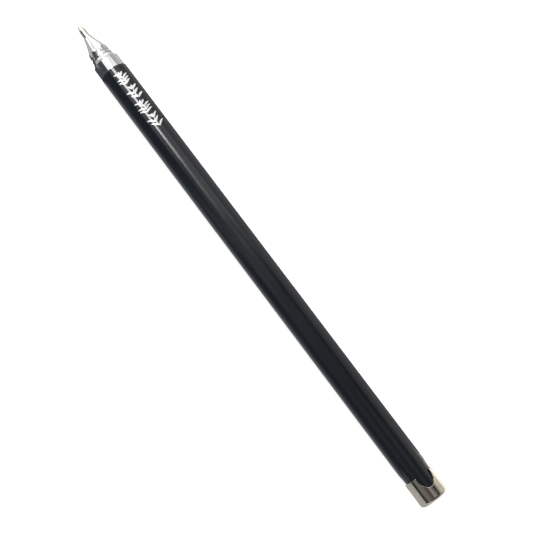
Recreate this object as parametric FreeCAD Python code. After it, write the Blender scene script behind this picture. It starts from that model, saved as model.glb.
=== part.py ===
"""Scabbard-shaped capless writing pen: a long lacquered tube with a chromed nose at the writing end,
a chromed chape with two U notches at the tail, and a spring-backed gel refill inside.

Frame, in millimetres: the pen's axis is X, and +X runs towards the writing tip. X = 0 is the plane where
the nose's collar meets the barrel's mouth. +Z is the decorated face, where one of the chape's notches opens.

Sizes run from the inside out: the refill sets the nose's bore, the nose's thread sets the insert, the
insert sets the barrel's bore, and a wall on top of that gives the barrel's outside.
"""
import FreeCAD
import Part

import math
import os

V = FreeCAD.Vector
ORIGIN = V(0, 0, 0)
PEN_AXIS = V(1, 0, 0)

# ---------------------------------------------------------------- driving sizes, mm
total_length = 200.5            # ball to the chape's flat end

# refill
refill_length = 128.0           # ball to the tube's open tail
refill_radius = 3.0             # ink tube and the holder's flange
tube_wall = 0.55
ball_radius = 0.50
ball_clearance = 0.01
ball_shown = 0.32               # how far the ball stands out of its rim
rim_wall = 0.10                 # metal left round the ball at the rim
point_radius = 1.25             # the metal point's plain shank
point_cone_length = 2.8
point_shown = 5.9               # ball to the nose's mouth
point_grip = 8.2                # shank held in the holder, behind the mouth's seat
point_bore_radius = 0.55
ball_channel_radius = 0.25
ball_channel_length = 1.4
holder_front_radius = 1.85
holder_front_length = 3.6
holder_cone_length = 3.0
holder_flange_length = 2.3
holder_plug_length = 5.0        # pushed into the ink tube
ink_channel_radius = 0.8
ink_length = 72.0               # behind the holder's plug
follower_length = 8.0

# nose
nose_length = 15.7              # collar's back face to the mouth
mouth_clearance = 0.08          # round the point
mouth_wall = 0.22
mouth_seat_length = 2.5         # narrow bore that guides the point
mouth_rounding = 0.12
refill_clearance = 0.10
ogive_bulge = 0.14              # how far the front's arc stands off its chord
band_front_radius = 3.55
band_radius = 3.74
band_start = 8.05
band_length = 1.65
groove_radius = 3.45
groove_length = 0.85
ridge_radius = 3.88
ridge_length = 0.65
rear_groove_radius = 3.62
rear_groove_length = 0.35
shoulder_front_radius = 3.95
shoulder_length = 1.50
shoulder_bulge = 0.12
edge_break = 0.10               # chamfer on turned corners
collar_step = 0.17              # collar below the barrel's surface

# thread between nose and insert
spigot_wall = 0.40
thread_depth = 0.35
thread_pitch = 0.75
thread_turns = 7
thread_root_width = 0.50
thread_crest_width = 0.16
thread_clearance = 0.07
thread_foot = 0.12              # how deep a ridge's foot is sunk
relief_length = 1.3             # plain neck behind the collar
spigot_lead = 1.05              # plain end behind the thread

# barrel and insert
insert_wall = 0.38
insert_overrun = 1.7            # behind the nose's spigot
insert_recess = 0.30
insert_lead_in = 0.20           # plain bore before its thread starts
press_clearance = 0.01
barrel_wall = 0.69
mouth_lip_rounding = 0.38
neck_step = 0.25                # tail end turned down for the chape
tail_taper_length = 3.4

# chape (the tail cap)
chape_length = 9.4
chape_wall = 0.50
chape_clearance = 0.02
chape_corner = 1.35             # outside, round the flat end
chape_inner_corner = 0.30       # the barrel's tail edge is rounded to match
notch_depth = 4.8
notch_half_width = 2.85
notch_corner = 0.40

# behind the refill
spring_length = 14.0            # as fitted
spring_wire_radius = 0.25
spring_turns = 8.5
spring_seat_gap = 0.02
spacer_clearance = 0.15
spacer_wall = 0.70
spacer_floor = 1.2
spacer_vent_radius = 0.6
nipple_length = 2.5
nipple_clearance = 0.20
plug_length = 5.0
plug_flange_length = 1.5
plug_core_wall = 1.0

# ---------------------------------------------------------------- radii worked out from the inside out
nose_bore_radius = refill_radius + refill_clearance
thread_root_radius = nose_bore_radius + spigot_wall
thread_crest_radius = thread_root_radius + thread_depth
insert_radius = thread_crest_radius + thread_clearance + insert_wall
barrel_bore_radius = insert_radius + press_clearance
barrel_radius = barrel_bore_radius + barrel_wall
collar_radius = barrel_radius - collar_step
neck_radius = barrel_radius - neck_step
chape_bore_radius = neck_radius + chape_clearance
chape_radius = chape_bore_radius + chape_wall
holder_bore_radius = holder_front_radius + refill_clearance
mouth_bore_radius = point_radius + mouth_clearance
mouth_radius = mouth_bore_radius + mouth_wall
tube_bore_radius = refill_radius - tube_wall

# ---------------------------------------------------------------- places along the axis
thread_x = -relief_length - thread_pitch * thread_turns
spigot_x = thread_x - spigot_lead
insert_x = spigot_x - insert_overrun
tip_x = nose_length + point_shown
tail_x = tip_x - total_length                      # chape's flat end
ball_x = tip_x - ball_radius
rim_x = tip_x - ball_shown
holder_front_x = nose_length - mouth_seat_length   # seats on the nose's inner step
holder_cone_front_x = holder_front_x - holder_front_length
holder_flange_front_x = holder_cone_front_x - holder_cone_length
tube_front_x = holder_flange_front_x - holder_flange_length
plug_end_x = tube_front_x - holder_plug_length
point_rear_x = holder_front_x - point_grip
ink_rear_x = plug_end_x - ink_length
tube_rear_x = tip_x - refill_length
spring_rear_x = tube_rear_x - spring_length
chape_floor_x = tail_x + chape_wall
chape_rim_x = tail_x + chape_length
barrel_rear_x = chape_floor_x + chape_clearance
plug_front_x = barrel_rear_x + plug_length


# ---------------------------------------------------------------- helpers
def face_of(start, *moves):
    """A closed face in the X-radius plane. A move is (x, r), a straight edge, or ((x, r), (x, r)),
    an arc through the first point to the second."""
    here = V(start[0], start[1], 0)
    first = here
    edges = []
    for move in moves:
        if isinstance(move[0], tuple):
            via, end = (V(p[0], p[1], 0) for p in move)
            edges.append(Part.Arc(here, via, end).toShape())
        else:
            end = V(move[0], move[1], 0)
            edges.append(Part.LineSegment(here, end).toShape())
        here = end
    if here.distanceToPoint(first) > 1e-7:
        edges.append(Part.LineSegment(here, first).toShape())
    return Part.Face(Part.Wire(edges))


def turned(start, *moves):
    """The solid that a lathe would make of that outline, round the pen's axis."""
    return face_of(start, *moves).revolve(ORIGIN, PEN_AXIS, 360)


def tube(x0, x1, outer, inner):
    """A plain tube along the axis from x0 to x1."""
    return turned((x0, inner), (x1, inner), (x1, outer), (x0, outer))


def bulged(a, b, bulge):
    """The point that an arc from a to b passes through to stand off its chord by bulge, away from the axis."""
    run, rise = b[0] - a[0], b[1] - a[1]
    length = math.hypot(run, rise)
    side = 1 if run > 0 else -1
    return ((a[0] + b[0]) / 2 - side * bulge * rise / length, (a[1] + b[1]) / 2 + side * bulge * run / length)


def rounded_corner(centre, radius, angle):
    """The point at that angle, in degrees, on a corner's arc."""
    turn = math.radians(angle)
    return (centre[0] + radius * math.cos(turn), centre[1] + radius * math.sin(turn))


def coil(pitch, turns, radius, x0, profile):
    """A right-hand helical bar along +X from x0. profile is a list of (along, out) corners,
    measured from the helix itself, or one number, a round wire's radius."""
    helix = Part.makeHelix(pitch, pitch * turns, radius)
    if isinstance(profile, list):
        corners = [V(radius + out, 0, along) for along, out in profile]
        section = Part.makePolygon(corners + corners[:1])
    else:
        section = Part.Wire(Part.makeCircle(profile, V(radius, 0, 0), V(0, 1, 0)))
    bar = Part.Wire(helix).makePipeShell([section], True, True)
    bar.rotate(ORIGIN, V(0, 1, 0), 90)
    bar.translate(V(x0, 0, 0))
    return bar


def thread_ridge(root_radius, outward, crest_half_width, x0, turns):
    """A thread's ridge, standing out of a shaft (outward 1) or into a bore (outward -1) from root_radius,
    with its foot sunk into the metal that it stands on."""
    slope = (thread_root_width - thread_crest_width) / 2 / thread_depth
    foot = crest_half_width + slope * (thread_depth + thread_foot)
    profile = [
        (-foot, -outward * thread_foot),
        (foot, -outward * thread_foot),
        (crest_half_width, outward * thread_depth),
        (-crest_half_width, outward * thread_depth),
    ]
    return coil(thread_pitch, turns, root_radius, x0, profile)


# ---------------------------------------------------------------- refill
def writing_ball():
    """The carbide ball."""
    return Part.makeSphere(ball_radius, V(ball_x, 0, 0))


def point_housing():
    """The metal point: a shank, a cone, and a socket that holds the ball past its equator."""
    socket = ball_radius + ball_clearance
    rim_out = rim_x - ball_x
    rim_radius = math.sqrt(socket**2 - rim_out**2)
    channel_x = ball_x - math.sqrt(socket**2 - ball_channel_radius**2)
    cone_x = tip_x - point_cone_length
    solid = turned(
        (point_rear_x, point_bore_radius),
        (channel_x - ball_channel_length, point_bore_radius),
        (channel_x - ball_channel_length + point_bore_radius - ball_channel_radius, ball_channel_radius),
        (channel_x, ball_channel_radius),
        ((ball_x, socket), (rim_x, rim_radius)),
        (rim_x, rim_radius + rim_wall),
        (cone_x, point_radius),
        (point_rear_x, point_radius),
    )
    return solid


def tip_holder():
    """The moulded holder that joins the metal point to the ink tube. Its front face seats in the nose."""
    grip = point_radius + press_clearance
    return turned(
        (plug_end_x, ink_channel_radius),
        (point_rear_x - press_clearance, ink_channel_radius),
        (point_rear_x - press_clearance, grip),
        (holder_front_x, grip),
        (holder_front_x, holder_front_radius),
        (holder_cone_front_x, holder_front_radius),
        (holder_flange_front_x, refill_radius),
        (tube_front_x, refill_radius),
        (tube_front_x, tube_bore_radius - press_clearance),
        (plug_end_x, tube_bore_radius - press_clearance),
    )


def ink_tube():
    """The clear tube that holds the ink."""
    return tube(tube_rear_x, tube_front_x, refill_radius, tube_bore_radius)


def ink_column():
    """The ink, from the follower to the ball's channel."""
    wide = tube_bore_radius - press_clearance
    narrow = ink_channel_radius - press_clearance
    fine = point_bore_radius - press_clearance
    fine_front_x = ball_x - ball_radius - ball_channel_length - point_bore_radius
    return turned(
        (ink_rear_x, 0),
        (fine_front_x, 0),
        (fine_front_x, fine),
        (point_rear_x - press_clearance, fine),
        (point_rear_x - press_clearance, narrow),
        (plug_end_x - press_clearance, narrow),
        (plug_end_x - press_clearance, wide),
        (ink_rear_x, wide),
    )


def ink_follower():
    """The grease plug that follows the ink down the tube."""
    radius = tube_bore_radius - press_clearance
    return Part.makeCylinder(radius, follower_length, V(ink_rear_x - follower_length, 0, 0), PEN_AXIS)


# ---------------------------------------------------------------- nose
def nose_outline():
    """The nose's outline: bore from the back to the mouth, then the outside from the mouth to the back."""
    band_x = band_start + band_length
    groove_front_x = band_start - edge_break
    groove_rear_x = groove_front_x - groove_length
    ridge_rear_x = groove_rear_x - ridge_length
    shoulder_front_x = ridge_rear_x - rear_groove_length
    shoulder_rear_x = shoulder_front_x - shoulder_length
    front = (nose_length - mouth_rounding, mouth_radius)
    band = (band_x, band_front_radius)
    shoulder = (shoulder_front_x, shoulder_front_radius)
    collar = (shoulder_rear_x, collar_radius - edge_break)
    round_centre = (nose_length - mouth_rounding, mouth_radius - mouth_rounding)
    return [
        (spigot_x, nose_bore_radius),
        (holder_flange_front_x + refill_clearance, nose_bore_radius),
        (holder_cone_front_x + refill_clearance, holder_bore_radius),
        (holder_front_x, holder_bore_radius),
        (holder_front_x, mouth_bore_radius),
        (nose_length, mouth_bore_radius),
        (nose_length, mouth_radius - mouth_rounding),
        (rounded_corner(round_centre, mouth_rounding, 45), front),
        (bulged(front, band, ogive_bulge), band),
        (band_start, band_radius),
        (groove_front_x, band_radius - edge_break),
        (groove_front_x, groove_radius),
        (groove_rear_x, groove_radius),
        (groove_rear_x, ridge_radius - edge_break),
        (groove_rear_x - edge_break, ridge_radius),
        (ridge_rear_x + edge_break, ridge_radius),
        (ridge_rear_x, ridge_radius - edge_break),
        (ridge_rear_x, rear_groove_radius),
        (shoulder_front_x, rear_groove_radius),
        shoulder,
        (bulged(shoulder, collar, shoulder_bulge), collar),
        (shoulder_rear_x - edge_break, collar_radius),
        (0, collar_radius),
        (0, thread_root_radius),
        (spigot_x + edge_break, thread_root_radius),
        (spigot_x, thread_root_radius - edge_break),
    ]


def nose_section():
    """The chromed nose: ogive front, band, snap groove, shoulder, collar and a threaded spigot."""
    ridge = thread_ridge(thread_root_radius, 1, thread_crest_width / 2, thread_x, thread_turns)
    return turned(*nose_outline()).fuse(ridge)


# ---------------------------------------------------------------- barrel
def barrel():
    """The lacquered tube: rounded mouth lip, long plain body, and a tail turned down for the chape."""
    lip_centre = (-mouth_lip_rounding, barrel_radius - mouth_lip_rounding)
    taper_front = (chape_rim_x + tail_taper_length, barrel_radius)
    taper_rear = (chape_rim_x + chape_clearance, neck_radius)
    neck_centre = (barrel_rear_x + chape_inner_corner, neck_radius - chape_inner_corner)
    return turned(
        (barrel_rear_x, barrel_bore_radius),
        (0, barrel_bore_radius),
        (0, lip_centre[1]),
        (rounded_corner(lip_centre, mouth_lip_rounding, 45), (lip_centre[0], barrel_radius)),
        taper_front,
        (bulged(taper_front, taper_rear, neck_step / 4), taper_rear),
        (neck_centre[0], neck_radius),
        (rounded_corner(neck_centre, chape_inner_corner, 135), (barrel_rear_x, neck_centre[1])),
    )


def thread_insert():
    """The brass bush pressed into the barrel's mouth. Its inner ridge lies half a pitch from the nose's, and
    has what that leaves of each turn after the clearance."""
    groove_radius_in_bush = thread_crest_radius + thread_clearance
    ridge_half_width = (thread_pitch - thread_root_width) / 2 - thread_clearance
    ridge_x = thread_x - 1.5 * thread_pitch
    mouth_x = -insert_recess
    bush = turned(
        (insert_x, groove_radius_in_bush),
        (mouth_x, groove_radius_in_bush),
        (mouth_x, insert_radius - edge_break),
        (mouth_x - edge_break, insert_radius),
        (insert_x + edge_break, insert_radius),
        (insert_x, insert_radius - edge_break),
    )
    turns = (mouth_x - insert_lead_in - thread_root_width - ridge_x) / thread_pitch
    return bush.fuse(thread_ridge(groove_radius_in_bush, -1, ridge_half_width, ridge_x, turns))


# ---------------------------------------------------------------- tail
def notch_cutter():
    """A bar with a half-ellipse end, through the chape from face to face, with rounded corners at the rim."""
    start_x = chape_rim_x - notch_corner
    reach = chape_rim_x + 1.0
    flare = notch_half_width + notch_corner
    half_turn = math.cos(math.radians(45)) * notch_corner
    corner = (chape_rim_x - notch_corner + half_turn, flare - half_turn)
    ellipse = Part.Ellipse(V(start_x, 0, 0), notch_depth - notch_corner, notch_half_width)
    floor = Part.Arc(ellipse, math.radians(90), math.radians(270)).toShape()
    outline = [
        floor,
        Part.LineSegment(V(reach, -flare, 0), V(reach, flare, 0)).toShape(),
    ]
    for side in (-1, 1):
        low = V(start_x, side * notch_half_width, 0)
        via = V(corner[0], side * corner[1], 0)
        high = V(chape_rim_x, side * flare, 0)
        outline.append(Part.Arc(low, via, high).toShape())
        outline.append(Part.LineSegment(high, V(reach, side * flare, 0)).toShape())
    face = Part.Face(Part.Wire(Part.__sortEdges__(outline)))
    height = 2 * chape_radius + 2
    bar = face.extrude(V(0, 0, height))
    bar.translate(V(0, 0, -height / 2))
    return bar


def chape():
    """The chromed tail cup, notched on the decorated face and on the face behind it."""
    outer_corner = (tail_x + chape_corner, chape_radius - chape_corner)
    inner_centre = (chape_floor_x + chape_inner_corner, chape_bore_radius - chape_inner_corner)
    cup = turned(
        (tail_x, 0),
        (tail_x, outer_corner[1]),
        (rounded_corner(outer_corner, chape_corner, 135), (outer_corner[0], chape_radius)),
        (chape_rim_x - edge_break, chape_radius),
        (chape_rim_x, chape_radius - edge_break),
        (chape_rim_x, chape_bore_radius),
        (inner_centre[0], chape_bore_radius),
        (rounded_corner(inner_centre, chape_inner_corner, 135), (chape_floor_x, inner_centre[1])),
        (chape_floor_x, 0),
    )
    return cup.cut(notch_cutter())


def tail_plug():
    """The moulded plug that closes the barrel's tail: a flange in the bore and a hollow core in the spacer."""
    core_radius = barrel_bore_radius - spacer_clearance - spacer_wall - press_clearance
    return turned(
        (barrel_rear_x, 0),
        (barrel_rear_x, barrel_bore_radius - press_clearance),
        (barrel_rear_x + plug_flange_length, barrel_bore_radius - press_clearance),
        (barrel_rear_x + plug_flange_length, core_radius),
        (plug_front_x, core_radius),
        (plug_front_x, core_radius - plug_core_wall),
        (barrel_rear_x + plug_flange_length, core_radius - plug_core_wall),
        (barrel_rear_x + plug_flange_length, 0),
    )


def refill_spacer():
    """The long moulded cup that fills the barrel behind the refill, with a nipple that centres the spring."""
    outer = barrel_bore_radius - spacer_clearance
    front_x = spring_rear_x
    nipple = refill_radius - 2 * spring_wire_radius - nipple_clearance
    return turned(
        (barrel_rear_x + plug_flange_length, outer - spacer_wall),
        (front_x - spacer_floor, outer - spacer_wall),
        (front_x - spacer_floor, spacer_vent_radius),
        (front_x + nipple_length, spacer_vent_radius),
        (front_x + nipple_length, nipple - edge_break),
        (front_x + nipple_length - edge_break, nipple),
        (front_x, nipple),
        (front_x, outer),
        (barrel_rear_x + plug_flange_length, outer),
    )


def refill_spring():
    """The compression spring behind the refill, cut from the coil at both ends and not ground."""
    end_gap = spring_seat_gap + spring_wire_radius
    pitch = (spring_length - 2 * end_gap) / spring_turns
    return coil(pitch, spring_turns, refill_radius - spring_wire_radius, spring_rear_x + end_gap, spring_wire_radius)


PIECES = [
    writing_ball,
    point_housing,
    tip_holder,
    ink_tube,
    ink_column,
    ink_follower,
    nose_section,
    barrel,
    thread_insert,
    chape,
    tail_plug,
    refill_spacer,
    refill_spring,
]


def main():
    """Writes each piece to parts/NAME.step."""
    os.makedirs("parts", exist_ok=True)
    for make in PIECES:
        shape = make()
        if not shape.isValid() or shape.Volume <= 0 or not shape.Solids:
            raise ValueError(make.__name__ + " isn't a valid solid")
        shape.exportStep("parts/" + make.__name__ + ".step")
        box = shape.BoundBox
        print("%-15s solids %d  volume %9.2f  x %8.2f to %7.2f  r %.2f" % (
            make.__name__, len(shape.Solids), shape.Volume, box.XMin, box.XMax, box.YMax))


main()
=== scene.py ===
"""Looks of a slim capless ballpoint pen: a lacquered barrel, a chromed nose and a notched chromed tail cup.

Lengths are in millimetres until a mesh is made, and the studio's panels are in metres. X runs along the pen
from tail to tip, the decorated face is +Z, and X = 0 is where the nose's collar meets the barrel.
"""

import logging
import math
from dataclasses import dataclass, field
from enum import Enum
from typing import Any

import bmesh
import bpy
import numpy as np
from mathutils import Matrix, Vector


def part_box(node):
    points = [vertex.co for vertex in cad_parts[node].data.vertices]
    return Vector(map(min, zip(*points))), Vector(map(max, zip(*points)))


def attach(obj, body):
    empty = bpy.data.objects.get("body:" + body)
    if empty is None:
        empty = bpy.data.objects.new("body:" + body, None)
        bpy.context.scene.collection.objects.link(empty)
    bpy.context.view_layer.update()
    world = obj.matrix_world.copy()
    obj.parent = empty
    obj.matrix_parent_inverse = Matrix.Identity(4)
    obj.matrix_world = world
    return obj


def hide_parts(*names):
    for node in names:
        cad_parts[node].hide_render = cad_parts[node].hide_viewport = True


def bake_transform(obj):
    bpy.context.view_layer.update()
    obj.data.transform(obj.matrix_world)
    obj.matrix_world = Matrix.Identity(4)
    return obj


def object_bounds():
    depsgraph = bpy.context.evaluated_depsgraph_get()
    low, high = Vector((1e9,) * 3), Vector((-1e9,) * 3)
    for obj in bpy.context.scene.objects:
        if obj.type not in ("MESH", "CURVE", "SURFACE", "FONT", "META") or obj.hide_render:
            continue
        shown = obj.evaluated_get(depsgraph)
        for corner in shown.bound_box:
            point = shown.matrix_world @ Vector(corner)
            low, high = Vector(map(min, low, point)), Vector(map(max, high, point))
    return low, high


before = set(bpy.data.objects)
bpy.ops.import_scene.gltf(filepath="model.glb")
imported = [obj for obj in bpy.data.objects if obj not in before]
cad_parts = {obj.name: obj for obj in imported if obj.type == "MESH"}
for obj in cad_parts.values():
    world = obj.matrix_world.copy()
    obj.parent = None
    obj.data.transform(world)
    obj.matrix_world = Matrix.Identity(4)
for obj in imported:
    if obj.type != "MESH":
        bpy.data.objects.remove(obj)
CAD_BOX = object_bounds()

MM = 0.001
MICRON = 0.000001
ROUND_COLUMNS = 160       # columns round the pen on a turned piece
THREAD_COLUMNS = 144
SHARP_ANGLE = math.radians(40)
MERGE_DISTANCE = 1e-7     # metres

THREAD_PITCH = 0.75
THREAD_DEPTH = 0.35
THREAD_TURNS = 7          # on the nose
THREAD_FRONT_X = -1.3     # a plain neck lies between the nose's thread and its collar
THREAD_START_X = THREAD_FRONT_X - THREAD_TURNS * THREAD_PITCH
THREAD_STEP = 0.05        # between rows of points where a thread runs
PRESS_GAP = 0.01          # left behind a piece that is pushed in

DUST_SPACING = 3.5        # from one speck to the next
DUST_HEART = 0.07         # radius in which a speck has its full colour
DUST_EDGE = 0.1225        # radius at which it ends
DUST_STRENGTH = 0.6

log = logging.getLogger("pen")


# ---------------------------------------------------------------- colours and nodes
def linear(colour: str, alpha: float = 1.0) -> tuple[float, float, float, float]:
    """Turns an sRGB hex colour to the linear one that shaders use.

    Args:
        colour: the colour as "#rrggbb".
        alpha: the fourth channel.

    Returns:
        Linear red, green and blue, and alpha.
    """
    channels = (int(colour[i:i + 2], 16) / 255 for i in (1, 3, 5))
    red, green, blue = (c / 12.92 if c <= 0.04045 else ((c + 0.055) / 1.055) ** 2.4 for c in channels)
    return red, green, blue, alpha


def add_node(tree: bpy.types.NodeTree, kind: str, settings: dict[str, Any] | None = None,
             inputs: dict[str | int, Any] | None = None) -> bpy.types.Node:
    """Adds a node with its settings and links.

    Args:
        tree: the node tree.
        kind: the node's type name.
        settings: the node's own properties.
        inputs: for each input's name or index, a value, or the output socket that feeds it.

    Returns:
        The new node.
    """
    node = tree.nodes.new(kind)
    for name, value in (settings or {}).items():
        setattr(node, name, value)
    for name, value in (inputs or {}).items():
        if isinstance(value, bpy.types.NodeSocket):
            tree.links.new(value, node.inputs[name])
        else:
            node.inputs[name].default_value = value
    return node


def empty_material(name: str) -> bpy.types.Material:
    """Makes a material that has no nodes yet."""
    made = bpy.data.materials.new(name)
    made.use_nodes = True
    made.node_tree.nodes.clear()
    return made


def glowing_material(name: str, colour: str, luminance: float) -> bpy.types.Material:
    """Makes a material that gives off an even light.

    Args:
        name: the material's name.
        colour: the light's colour.
        luminance: its strength, where 1 shows as white.

    Returns:
        The material.
    """
    made = empty_material(name)
    glow = add_node(made.node_tree, "ShaderNodeEmission",
                    inputs={"Color": linear(colour), "Strength": luminance})
    add_node(made.node_tree, "ShaderNodeOutputMaterial", inputs={"Surface": glow.outputs[0]})
    return made


# ---------------------------------------------------------------- finishes
@dataclass(frozen=True)
class Marks:
    """A surface's marks: soft noise whose features are spacing millimetres apart along x, y and z."""

    spacing: tuple[float, float, float]
    detail: float = 2.0
    low: float = 0.0
    high: float = 1.0
    contrast: float = 0.2     # half the band of noise that spreads over low to high

    def draw(self, tree: bpy.types.NodeTree, place: bpy.types.NodeSocket) -> bpy.types.NodeSocket:
        """Adds the marks.

        Args:
            tree: the material's node tree.
            place: the coordinates they lie on, in metres.

        Returns:
            The socket with a value from low to high.
        """
        scale = tuple(1 / (MM * step) for step in self.spacing)
        scaled = add_node(tree, "ShaderNodeMapping", inputs={"Vector": place, "Scale": scale})
        noise = add_node(tree, "ShaderNodeTexNoise",
                         inputs={"Vector": scaled.outputs[0], "Scale": 1.0, "Detail": self.detail})
        spread = add_node(tree, "ShaderNodeMapRange", inputs={
            "Value": noise.outputs[0], "From Min": 0.5 - self.contrast, "From Max": 0.5 + self.contrast,
            "To Min": self.low, "To Max": self.high})
        return spread.outputs[0]


@dataclass(frozen=True)
class Finish:
    """A piece's finish: its colours, gloss and relief, and a slot name, which is not used.

    The colour varies from colour to second_colour by colour_marks, the roughness by gloss_marks, and relief
    lists marks with their height in microns.
    """

    name: str
    slot: str
    colour: str
    second_colour: str
    colour_marks: Marks
    gloss_marks: Marks
    relief: tuple[tuple[Marks, float], ...] = ()
    metallic: float = 0.0
    ior: float = 1.5
    coat: float = 0.0
    coat_roughness: float = 0.05
    transmission: float = 0.0
    scatter: float = 0.0
    scatter_depth: float = 0.3
    dust_colour: str | None = None
    on_uv: bool = False

    def material(self) -> bpy.types.Material:
        """Makes the material once, and gives the same one after that.

        Returns:
            The material.
        """
        known = bpy.data.materials.get(self.name)
        if known:
            return known
        made = empty_material(self.name)
        tree = made.node_tree
        coordinates = add_node(tree, "ShaderNodeTexCoord")
        place = coordinates.outputs["UV" if self.on_uv else "Object"]
        shader = add_node(tree, "ShaderNodeBsdfPrincipled", inputs={
            "Base Color": self.tones(tree, place), "Roughness": self.gloss_marks.draw(tree, place),
            "Metallic": self.metallic, "IOR": self.ior, "Coat Weight": self.coat,
            "Coat Roughness": self.coat_roughness, "Transmission Weight": self.transmission,
            "Subsurface Weight": self.scatter, "Subsurface Scale": self.scatter_depth * MM})
        if self.relief:
            tree.links.new(self.height(tree, place), shader.inputs["Normal"])
        add_node(tree, "ShaderNodeOutputMaterial", inputs={"Surface": shader.outputs[0]})
        made.diffuse_color = linear(self.colour)
        return made

    def tones(self, tree: bpy.types.NodeTree, place: bpy.types.NodeSocket) -> bpy.types.NodeSocket:
        """Adds the colour and its variation, with dust specks where the finish has them.

        Args:
            tree: the material's node tree.
            place: the coordinates of its patterns.

        Returns:
            The colour socket.
        """
        mixed = add_node(tree, "ShaderNodeMix", {"data_type": "RGBA"}, {
            0: self.colour_marks.draw(tree, place), 6: linear(self.colour), 7: linear(self.second_colour)})
        if self.dust_colour is None:
            return mixed.outputs[2]
        # Specks of dust are the hearts of scattered cells. They are drawn 0.2 mm across, larger than real.
        cells = add_node(tree, "ShaderNodeTexVoronoi",
                         inputs={"Vector": place, "Scale": 1 / (DUST_SPACING * MM)})
        speck = add_node(tree, "ShaderNodeMapRange", inputs={
            "Value": cells.outputs["Distance"], "From Min": DUST_HEART / DUST_SPACING,
            "From Max": DUST_EDGE / DUST_SPACING, "To Min": DUST_STRENGTH, "To Max": 0.0})
        dusted = add_node(tree, "ShaderNodeMix", {"data_type": "RGBA"}, {
            0: speck.outputs[0], 6: mixed.outputs[2], 7: linear(self.dust_colour)})
        return dusted.outputs[2]

    def height(self, tree: bpy.types.NodeTree, place: bpy.types.NodeSocket) -> bpy.types.NodeSocket:
        """Adds the relief, one bump after another.

        Args:
            tree: the material's node tree.
            place: the coordinates of its patterns.

        Returns:
            The last bump's normal.
        """
        normal = None
        for marks, microns in self.relief:
            inputs = {"Height": marks.draw(tree, place), "Distance": microns * MICRON, "Strength": 1.0}
            if normal is not None:
                inputs["Normal"] = normal
            normal = add_node(tree, "ShaderNodeBump", inputs=inputs).outputs[0]
        return normal


# Sprayed and baked black lacquer over drawn aluminium: a deep blue-black with a clear gloss, the faint
# waviness of sprayed paint about 1.5 mm from crest to crest, and hairlines from wiping that run along the
# barrel. Real hairlines are 0.02 mm wide, and are drawn 0.2 mm wide so that they show.
BLACK_LACQUER = Finish(
    "black_lacquer_sprayed", "barrel_lacquer", "#171b22", "#1d2228",
    Marks((30, 6, 6)), Marks((14, 5, 5), low=0.10, high=0.17),
    ((Marks((1.8, 1.4, 1.4)), 2.2), (Marks((25, 0.2, 0.2)), 0.25)),
    dust_colour="#3c3f42")

# Bright chromium plated on turned brass: a cold mirror, with the lathe's fine rings left under the plating.
# Real rings are 0.06 mm apart, and are drawn 0.2 mm apart.
NOSE_CHROME = Finish(
    "chrome_on_turned_brass", "nose_chrome", "#dfe0e1", "#d2d3d6",
    Marks((5, 4, 4)), Marks((4, 3, 3), low=0.05, high=0.10),
    ((Marks((0.2, 500, 500)), 0.5), (Marks((1.5, 1.5, 1.5)), 0.6)), metallic=1.0)

# Nickel chrome on a drawn cup: a slightly warm mirror, softly dented from pressing, with polishing
# hairlines that run round it.
CHAPE_CHROME = Finish(
    "nickel_chrome_on_drawn_cup", "chape_chrome", "#dad6ce", "#ccc7bd",
    Marks((3, 3, 3)), Marks((2.5, 2.5, 2.5), low=0.07, high=0.16),
    ((Marks((2.2, 1.6, 1.6)), 2.6), (Marks((0.25, 4, 4)), 0.5)), metallic=1.0)

# Turned nickel silver: warm white metal with rings from the tool 0.15 mm apart.
POINT_METAL = Finish(
    "turned_nickel_silver", "point_metal", "#e6e4dd", "#dad7ce",
    Marks((1.5, 1, 1)), Marks((1.2, 1.2, 1.2), low=0.10, high=0.18),
    ((Marks((0.15, 300, 300)), 0.6),), metallic=1.0)

# Ground tungsten carbide: a dark grey mirror.
BALL_CARBIDE = Finish(
    "ground_tungsten_carbide", "ball_carbide", "#8b8c90", "#7b7c80",
    Marks((0.2, 0.2, 0.2)), Marks((0.3, 0.3, 0.3), low=0.06, high=0.12),
    ((Marks((0.05, 0.05, 0.05)), 0.1),), metallic=1.0)

# Turned brass, left bare: yellow metal with clear tool rings, a little browned in patches.
BUSH_BRASS = Finish(
    "turned_brass", "insert_brass", "#d8b26a", "#b98d49",
    Marks((2, 2, 2)), Marks((1.5, 1.5, 1.5), low=0.18, high=0.32),
    ((Marks((0.12, 300, 300)), 1.2),), metallic=1.0)

# Drawn spring steel: grey wire with long die lines, which follow the wire.
SPRING_STEEL = Finish(
    "drawn_spring_steel", "spring_steel", "#b4b5b6", "#8f9092",
    Marks((6, 0.5, 1)), Marks((8, 0.3, 1), low=0.22, high=0.34),
    ((Marks((12, 0.06, 1)), 0.8),), metallic=1.0, on_uv=True)

# Extruded natural polypropylene, a little hazy: the ink shows through it.
CLEAR_TUBE = Finish(
    "extruded_clear_polypropylene", "tube_plastic", "#eef1f0", "#e2e7e6",
    Marks((20, 3, 3)), Marks((10, 2, 2), low=0.12, high=0.22),
    ((Marks((30, 0.5, 0.5)), 0.8),), ior=1.49, transmission=0.85)

# Black gel ink: wet and quite black.
GEL_INK = Finish(
    "black_gel_ink", "ink", "#050507", "#0a0a0f",
    Marks((5, 2, 2)), Marks((4, 2, 2), low=0.08, high=0.14),
    ((Marks((2, 1, 1)), 2.0),), ior=1.4, coat=0.5)

# Clear grease that follows the ink: pale, soft and translucent.
GREASE = Finish(
    "clear_follower_grease", "follower_grease", "#ece6cf", "#ddd5b8",
    Marks((2, 1.5, 1.5)), Marks((2, 2, 2), low=0.15, high=0.30),
    ((Marks((1.2, 1, 1)), 4.0),), ior=1.46, transmission=0.6, scatter=0.3)

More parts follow.
